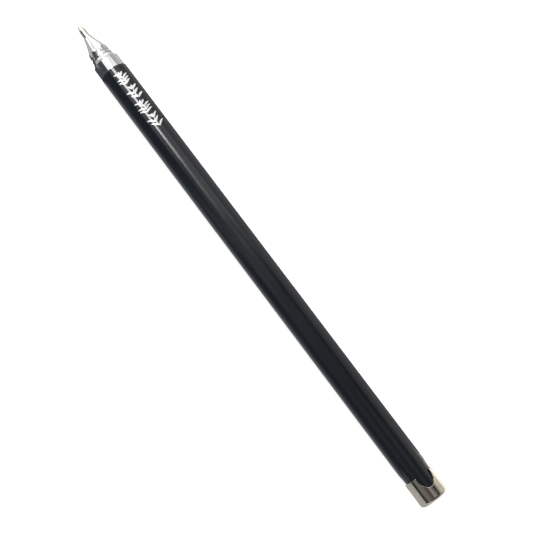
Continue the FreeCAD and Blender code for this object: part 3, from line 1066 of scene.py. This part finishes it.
# ---------------------------------------------------------------- refill
@dataclass
class Refill:
    """The refill: ball, metal point, holder, tube, ink and grease, with the spring and spacer behind it.

    A place that ends in _x is on the axis.
    """

    ball_radius: float = 0.50
    socket_clearance: float = 0.01
    ball_shown: float = 0.32
    rim_wall: float = 0.10
    cone_length: float = 2.8
    cone_rounding: float = 4.0
    point_bore: float = 0.55
    channel: float = 0.25
    channel_length: float = 1.4
    channel_funnel: float = 0.3
    holder_bore: float = 1.26
    holder_front_radius: float = 1.85
    holder_cone_front_x: float = 9.6
    holder_cone_rear_x: float = 6.6
    holder_flange_rear_x: float = 4.3
    holder_plug_radius: float = 2.44
    ink_channel: float = 0.8
    tube_bore: float = 2.45
    meniscus_depth: float = 0.6
    meniscus_bulge: float = 0.25
    wire_radius: float = 0.25
    spring_turns: float = 8.5
    spring_easing: float = 0.055
    spring_gap: float = 0.02
    spacer_wall: float = 0.7
    spacer_floor: float = 1.2
    spacer_vent: float = 0.6
    nipple_radius: float = 2.3

    def build(self) -> None:
        """Builds and dresses every piece of the refill and what holds it."""
        self.build_ball()
        self.build_point()
        self.build_holder()
        self.build_contents()
        self.build_spring()
        self.build_spacer()

    def build_ball(self) -> None:
        """Builds the ball: a half circle turned round the axis."""
        rear, front, _ = span("writing_ball")
        turn = np.linspace(math.pi, 0, 33)
        middle = (rear + front) / 2
        half = np.stack([middle + self.ball_radius * np.cos(turn), self.ball_radius * np.sin(turn)], axis=1)
        half[[0, -1], 1] = 0
        shell = Shell("carbide_ball")
        shell.add(turned(half, 48))
        shell.make(BALL_CARBIDE, "ball", "writing_ball")

    def build_point(self) -> None:
        """Builds the metal point: a shank, a cone and the ball's socket, whose lip is swaged over the ball.

        The outline's own corners inside the socket are left out, and the socket's arc takes their place.
        """
        rear, rim, radius = span("point_housing")
        ball_x = sum(span("writing_ball")[:2]) / 2
        socket = self.ball_radius + self.socket_clearance
        channel_x = ball_x - math.sqrt(socket ** 2 - self.channel ** 2)
        rim_radius = math.sqrt(socket ** 2 - (rim - ball_x) ** 2)
        turn = np.linspace(math.asin(self.channel / socket), math.pi - math.asin(rim_radius / socket), 16)
        cup = np.stack([ball_x - socket * np.cos(turn), socket * np.sin(turn)], axis=1)
        front = outline([
            Corner(rim, rim_radius + self.rim_wall, 0.02),
            Corner(rim + self.ball_shown - self.cone_length, radius, self.cone_rounding),
            Corner(rear, radius, 0.08),
            Corner(rear, self.point_bore, 0.05),
            Corner(channel_x - self.channel_length, self.point_bore),
            Corner(channel_x - self.channel_length + self.channel_funnel, self.channel),
            Corner(channel_x, self.channel),
            Corner(rim, rim_radius),
        ])
        keep = ~((front[:, 0] > channel_x - 1e-9) & (front[:, 1] < rim_radius + 0.2 * self.rim_wall))
        shell = Shell("metal_point")
        shell.add(turned(np.concatenate([front[keep], cup]), 96), wrap_rows=True)
        shell.make(POINT_METAL, "refill", "point_housing")

    def build_holder(self) -> None:
        """Builds the moulded holder between the point and the tube."""
        rear, front, radius = span("tip_holder")
        point_rear = span("point_housing")[0] - PRESS_GAP
        shell = Shell("point_holder")
        shell.add(turned(outline([
            Corner(rear, self.ink_channel, 0.05),
            Corner(point_rear, self.ink_channel, 0.05),
            Corner(point_rear, self.holder_bore, 0.03),
            Corner(front, self.holder_bore, 0.03),
            Corner(front, self.holder_front_radius, 0.12),
            Corner(self.holder_cone_front_x, self.holder_front_radius, 0.2),
            Corner(self.holder_cone_rear_x, radius, 0.2),
            Corner(self.holder_flange_rear_x, radius, 0.06),
            Corner(self.holder_flange_rear_x, self.holder_plug_radius, 0.04),
            Corner(rear, self.holder_plug_radius, 0.2),
        ]), 128), wrap_rows=True)
        shell.make(HOLDER_ACETAL, "refill", "tip_holder")

    def build_contents(self) -> None:
        """Builds the clear tube, the ink and the grease behind it."""
        rear, front, radius = span("ink_tube")
        shell = Shell("clear_tube")
        shell.add(turned(outline([
            Corner(rear, self.tube_bore, 0.06),
            Corner(front, self.tube_bore, 0.05),
            Corner(front, radius, 0.08),
            Corner(rear, radius, 0.08),
        ]), 128), wrap_rows=True)
        shell.make(CLEAR_TUBE, "refill", "ink_tube")
        rear, front, radius = span("ink_column")
        holder_rear = span("tip_holder")[0] - PRESS_GAP
        point_rear = span("point_housing")[0] - PRESS_GAP
        shell = Shell("gel_column")
        shell.add(turned(outline([
            Corner(rear, 0),
            Corner(rear, radius, 0.05),
            Corner(holder_rear, radius, 0.05),
            Corner(holder_rear, self.ink_channel - PRESS_GAP, 0.04),
            Corner(point_rear, self.ink_channel - PRESS_GAP, 0.04),
            Corner(point_rear, self.point_bore - PRESS_GAP, 0.03),
            Corner(front, self.point_bore - PRESS_GAP, 0.1),
            Corner(front, 0),
        ], closed=False), 96))
        shell.make(GEL_INK, "refill", "ink_column")
        rear, front, radius = span("ink_follower")
        shell = Shell("follower_grease")
        shell.add(turned(outline([
            Corner(rear + self.meniscus_depth, 0),
            Corner(rear, radius, 0.1, bulge=-self.meniscus_bulge),
            Corner(front, radius, 0.05),
            Corner(front, 0),
        ], closed=False), 96))
        shell.make(GREASE, "refill", "ink_follower")

    def build_spring(self) -> None:
        """Builds the spring: a round wire carried along a right-hand helix, with plain rounded ends.

        The wire's middle goes forward in proportion to its turns, less a sine of two waves, which sets the
        turns at both ends and in the middle about a fifth closer. It runs between the barrel, which holds its
        rear end, and the refill, and is attached to neither.
        """
        rear, front, _ = span("refill_spring")
        reach = span("ink_tube")[2] - self.wire_radius
        rows, columns = 320, 12
        t = np.linspace(0, 1, rows)
        eased = t - self.spring_easing * np.sin(4 * math.pi * t) / math.pi
        x = rear + self.wire_radius + (front - rear - 2 * self.wire_radius) * np.clip(eased, 0, 1)
        angle = math.pi - 2 * math.pi * self.spring_turns * t
        middle = np.stack([x, reach * np.sin(angle), reach * np.cos(angle)], axis=1)
        along = np.gradient(middle, axis=0)
        along /= np.linalg.norm(along, axis=1)[:, None]
        out = np.stack([np.zeros(rows), np.sin(angle), np.cos(angle)], axis=1)
        side = np.cross(along, out)
        turn = 2 * math.pi * np.arange(columns) / columns
        gone = t * 2 * math.pi * reach * self.spring_turns
        end = np.minimum(gone, gone[-1] - gone) / self.wire_radius
        wire = self.wire_radius * np.sqrt(np.clip(1 - np.clip(1 - end, 0, 1) ** 2, 0, 1))
        ring = np.cos(turn)[None, :, None] * out[:, None, :] + np.sin(turn)[None, :, None] * side[:, None, :]
        grid = middle[:, None, :] + wire[:, None, None] * ring
        around = np.broadcast_to(turn * self.wire_radius, (rows, columns))
        uv = np.stack([np.broadcast_to(gone[:, None], (rows, columns)), around], axis=-1) * MM
        shell = Shell("return_spring")
        shell.add(grid, uv=uv)
        piece = shell.make(SPRING_STEEL, "", "refill_spring")
        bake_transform(piece)

    def build_spacer(self) -> None:
        """Builds the long moulded cup behind the spring, with its nipple and vent."""
        rear, front, radius = span("refill_spacer")
        face = span("refill_spring")[0] - self.spring_gap
        shell = Shell("spacer_cup")
        shell.add(turned(outline([
            Corner(rear, radius - self.spacer_wall, 0.1),
            Corner(face - self.spacer_floor, radius - self.spacer_wall, 0.3),
            Corner(face - self.spacer_floor, self.spacer_vent, 0.1),
            Corner(front, self.spacer_vent, 0.1),
            Corner(front, self.nipple_radius, 0.25),
            Corner(face, self.nipple_radius, 0.1),
            Corner(face, radius, 0.2),
            Corner(rear, radius, 0.1),
        ]), 128), wrap_rows=True)
        shell.make(SPACER_PLASTIC, "barrel_body", "refill_spacer")


# ---------------------------------------------------------------- studio
def sheet_object(name: str, points: Any, faces: Any, material: bpy.types.Material) -> bpy.types.Object:
    """Adds a thin sheet of the studio.

    Args:
        name: the object's and the mesh's name.
        points: its points in metres, one a row.
        faces: point numbers, one face a row.
        material: what it wears.

    Returns:
        The object.
    """
    mesh = bpy.data.meshes.new(name)
    mesh.from_pydata(points, [], faces)
    mesh.materials.append(material)
    placed = bpy.data.objects.new(name, mesh)
    bpy.context.scene.collection.objects.link(placed)
    return placed


def rectangle(half_x: float, half_y: float, z: float = 0.0) -> list[tuple[float, float, float]]:
    """The corners of a level rectangle round the origin."""
    return [(-half_x, -half_y, z), (half_x, -half_y, z), (half_x, half_y, z), (-half_x, half_y, z)]


class Facing(Enum):
    """Which way a light or card faces."""

    DOWN = (0.0, 0.0, -1.0)
    LEFTWARDS = (0.0, 1.0, 0.0)
    RIGHTWARDS = (0.0, -1.0, 0.0)
    UP = (0.0, 0.0, 1.0)
    BACKWARDS = (-1.0, 0.0, 0.0)


@dataclass(frozen=True)
class Panel:
    """A flat soft light, or a glowing pale or dark card, in metres. A card is no lamp: it lights nothing and
    only mirror-like reflections see it, so it paints a reflection on the pen.

    size is along the pen and then at right angles to it, or across the pen and up on a panel that faces
    backwards. luminance is the light it gives off, where 1 shows as white.
    """

    name: str
    centre: tuple[float, float, float]
    size: tuple[float, float]
    facing: Facing
    luminance: float
    colour: str = "#ffffff"

    def turned_to_face(self) -> Matrix:
        """Gives the placing that points the panel's -Z along its facing.

        Returns:
            The matrix, which also lays the panel's X along the pen, or across it where the panel faces
            backwards.
        """
        back = -Vector(self.facing.value)
        along = Vector((0, 1, 0)) if self.facing is Facing.BACKWARDS else Vector((1, 0, 0))
        turn = Matrix((along, back.cross(along), back)).transposed()
        return Matrix.Translation(Vector(self.centre)) @ turn.to_4x4()

    def light(self) -> None:
        """Adds the panel as a soft light that the camera doesn't see."""
        lamp = bpy.data.lights.new(self.name, "AREA")
        lamp.shape = "RECTANGLE"
        lamp.size, lamp.size_y = self.size
        lamp.energy = self.luminance * math.pi * self.size[0] * self.size[1]
        lamp.color = linear(self.colour)[:3]
        placed = bpy.data.objects.new(self.name, lamp)
        placed.matrix_world = self.turned_to_face()
        placed.visible_camera = False
        bpy.context.scene.collection.objects.link(placed)

    def card(self) -> None:
        """Adds the panel as a glowing card that only mirror-like reflections see: a painted reflection, not a
        lamp.
        """
        corners = rectangle(self.size[0] / 2, self.size[1] / 2)
        paper = glowing_material(self.name, self.colour, self.luminance)
        placed = sheet_object(self.name, corners, [(0, 1, 2, 3)], paper)
        placed.data.transform(self.turned_to_face())
        placed.visible_camera = False
        placed.visible_diffuse = False
        placed.visible_shadow = False
        placed.visible_transmission = False


@dataclass(frozen=True)
class FloorCard:
    """A glowing card that lies on the floor beside the pen, and that only its reflections see: it paints a
    pale or dark reflection of the floor on the pen.

    reach_x and reach_y are where it starts and ends, in millimetres.
    """

    name: str
    reach_x: tuple[float, float]
    reach_y: tuple[float, float]
    luminance: float
    colour: str

    def on_floor(self, floor_z: float, lift: float = 0.2) -> Panel:
        """Makes the panel for it.

        Args:
            floor_z: the floor's height in millimetres.
            lift: how far over the floor it lies.

        Returns:
            The panel.
        """
        centre = (sum(self.reach_x) / 2 * MM, sum(self.reach_y) / 2 * MM, (floor_z + lift) * MM)
        size = ((self.reach_x[1] - self.reach_x[0]) * MM, (self.reach_y[1] - self.reach_y[0]) * MM)
        return Panel(self.name + "_floor_card", centre, size, Facing.UP, self.luminance, self.colour)


@dataclass
class Studio:
    """A pale floor and backdrop, soft lights, the glowing cards that paint reflections on the metal and
    lacquer, and the camera.

    floor_z and the camera's places are in millimetres, and floor_half, the floor's half width, in metres.
    """

    floor_z: float
    floor_half: float = 3.0
    backdrop_sides: int = 96
    camera_place: tuple[float, float, float] = (-139.757, 113.011, 347.813)
    camera_aim: tuple[float, float, float] = (-85.587, -1.805, 0.0)
    camera_up: tuple[float, float, float] = (0.789542, -0.535515, 0.299744)
    lens: float = 75.11
    lights: tuple[Panel, ...] = (
        Panel("front_overhead_light", (0.62, -0.28, 1.0), (0.95, 1.35), Facing.DOWN, 0.8),
        Panel("highlight_strip", (0.46, 0.135, 0.95), (0.40, 0.23), Facing.DOWN, 19.0),
        Panel("right_side_light", (0.0, -1.1, 0.45), (1.8, 0.9), Facing.LEFTWARDS, 0.2),
    )
    # Glowing cards that light nothing and that only mirror-like reflections see: painted pale, dark, red and
    # blue reflections on the chrome and the lacquer, the mouth bar a painted highlight.
    cards: tuple[Panel, ...] = (
        Panel("front_left_dark_card", (0.25, 0.42, 0.22), (0.40, 0.46), Facing.RIGHTWARDS, 0.11, "#d3e0e8"),
        Panel("front_white_card", (1.2, 0.0, 0.60), (2.20, 1.10), Facing.BACKWARDS, 1.5, "#fdfefc"),
        Panel("front_thin_card", (0.90, 0.25, 0.42), (0.10, 0.60), Facing.BACKWARDS, 0.8, "#f6f4ea"),
        Panel("mouth_bar_card", (0.49, 0.135, 0.94), (0.26, 0.34), Facing.DOWN, 17.0),
        Panel("mouth_left_white_card", (0.55, 0.70, 1.0), (0.45, 0.62), Facing.DOWN, 1.3),
        Panel("tail_left_outline_card", (-0.25, 0.45, 0.075), (0.50, 0.17), Facing.RIGHTWARDS, 0.05,
              "#eef4f6"),
        Panel("tail_left_window_card", (-0.21, 0.45, 0.29), (0.34, 0.26), Facing.RIGHTWARDS, 0.20,
              "#fffaf6"),
        Panel("tail_overhead_window_card", (-0.21, 0.16, 0.42), (0.34, 0.58), Facing.DOWN, 0.16, "#fffaf4"),
        Panel("tail_red_card", (-0.22, 0.20, 0.415), (0.16, 0.17), Facing.DOWN, 0.12, "#ffd2d0"),
        Panel("tail_pale_card", (-0.22, 0.03, 0.415), (0.16, 0.13), Facing.DOWN, 0.34, "#f6f8f0"),
        Panel("middle_blue_card", (0.02, 0.55, 0.60), (0.34, 0.16), Facing.DOWN, 0.85, "#b4dcf8"),
        Panel("tail_behind_outline_card", (-0.55, 0.135, 0.42), (0.34, 0.80), Facing.DOWN, 0.05, "#f4f4ee"),
        Panel("tail_right_outline_card", (-0.25, -0.20, 0.40), (0.50, 0.14), Facing.DOWN, 0.04, "#e8f2ee"),
        Panel("tail_right_card", (-0.27, -0.50, 0.21), (0.20, 0.44), Facing.LEFTWARDS, 0.8, "#fbf1e2"),
    )
    # Glowing floor cards that only reflections see: painted pale and dark reflections of the floor on the
    # barrel, the nose, the point and the cup.
    floor_cards: tuple[FloorCard, ...] = (
        FloorCard("mouth_left_near", (1.5, 14), (2.5, 30), 0.12, "#d3e0e8"),
        FloorCard("barrel_left_rim", (-170, 1.5), (5.5, 14), 0.75, "#eef2f6"),
        FloorCard("barrel_left_near", (-170, 1.5), (14, 30), 0.35, "#dde6ee"),
        FloorCard("mouth_left_middle", (-171, 38), (30, 100), 0.12, "#d3e0e8"),
        FloorCard("mouth_left_far", (-180, 140), (100, 418), 0.12, "#d3e0e8"),
        FloorCard("ogive_left_near", (14, 600), (6.5, 30), 0.62, "#fbf7ef"),
        FloorCard("ogive_left_middle", (40, 600), (30, 100), 0.62, "#fbf7ef"),
        FloorCard("ogive_left_far", (140, 600), (100, 450), 0.66, "#fbf7ef"),
        FloorCard("ogive_left_rim", (14, 20), (0.5, 6.5), 0.66, "#fbf7ef"),
        FloorCard("point_left", (20, 45), (0.8, 6.5), 0.10, "#f4f2ee"),
        FloorCard("tail_left_near", (-240, -170), (5.5, 30), 0.56, "#fafaf4"),
        FloorCard("tail_left_middle", (-240, -171), (30, 100), 0.56, "#fafaf4"),
        FloorCard("tail_left_far", (-260, -180), (100, 440), 0.56, "#fafaf4"),
        FloorCard("barrel_right", (-165, 4), (-300, -7), 0.5, "#e6eaee"),
        FloorCard("nose_right", (4, 90), (-300, -6.5), 0.7, "#fafafa"),
    )

    def build(self) -> None:
        """Builds the floor, the lights, the world and the camera."""
        self.build_floor()
        self.build_backdrop()
        for panel in self.lights:
            panel.light()
        for panel in self.cards:
            panel.card()
        for sheet in self.floor_cards:
            sheet.on_floor(self.floor_z).card()
        self.build_world()
        self.build_camera()

    def build_floor(self) -> None:
        """Builds the floor, a matt white sheet that glows a little, so that shadows on it stay faint."""
        sheet = empty_material("matt_white_sheet")
        shader = add_node(sheet.node_tree, "ShaderNodeBsdfPrincipled", inputs={
            "Base Color": linear("#dadada"), "Roughness": 0.9, "Specular IOR Level": 0.1,
            "Emission Color": linear("#fefefe"), "Emission Strength": 0.84})
        add_node(sheet.node_tree, "ShaderNodeOutputMaterial", inputs={"Surface": shader.outputs[0]})
        corners = rectangle(self.floor_half, self.floor_half, self.floor_z * MM)
        floor = sheet_object("floor_sheet", corners, [(0, 1, 2, 3)], sheet)

    def build_backdrop(self) -> None:
        """Builds a white ring round the floor, which only the camera sees, behind the pen in low views."""
        turn = 2 * math.pi * np.arange(self.backdrop_sides) / self.backdrop_sides
        level = np.stack([self.floor_half * np.cos(turn), self.floor_half * np.sin(turn),
                          np.full(self.backdrop_sides, self.floor_z * MM)], axis=1)
        below = level - [0, 0, 0.01]
        above = level + [0, 0, self.floor_half]
        cloth = glowing_material("white_backdrop_cloth", "#fefefe", 1.0)
        ring = sheet_object("backdrop_ring", np.concatenate([below, above]),
                            grid_faces(2, self.backdrop_sides, False), cloth)
        ring.visible_diffuse = False
        ring.visible_glossy = False
        ring.visible_transmission = False
        ring.visible_shadow = False

    def build_world(self) -> None:
        """Gives the room its soft, slightly warm dim light."""
        world = bpy.data.worlds.new("soft_room")
        world.use_nodes = True
        tree = world.node_tree
        tree.nodes.clear()
        glow = add_node(tree, "ShaderNodeBackground", inputs={"Color": linear("#f6f1ea"), "Strength": 0.42})
        add_node(tree, "ShaderNodeOutputWorld", inputs={"Surface": glow.outputs[0]})
        bpy.context.scene.world = world

    def build_camera(self) -> None:
        """Adds the camera, which looks down at the decorated face from over the barrel, towards +Y of it."""
        lens = bpy.data.cameras.new("camera")
        lens.lens = self.lens
        lens.clip_start = 0.01
        camera = bpy.data.objects.new("camera", lens)
        place = Vector(self.camera_place) * MM
        back = (place - Vector(self.camera_aim) * MM).normalized()
        right = Vector(self.camera_up).cross(back).normalized()
        turn = Matrix((right, back.cross(right), back)).transposed()
        camera.matrix_world = Matrix.Translation(place) @ turn.to_4x4()
        bpy.context.scene.collection.objects.link(camera)
        bpy.context.scene.camera = camera
        bpy.context.scene.view_settings.view_transform = "Standard"


def main() -> None:
    """Builds the pen from tail to tip, and the studio round it."""
    logging.basicConfig(level=logging.INFO, format="%(name)s: %(message)s")
    TailCup.from_frame().build()
    Barrel.from_frame().build()
    Nose.from_frame().build()
    Refill().build()
    Studio(CAD_BOX[0].z / MM).build()


if __name__ == "__main__":
    main()
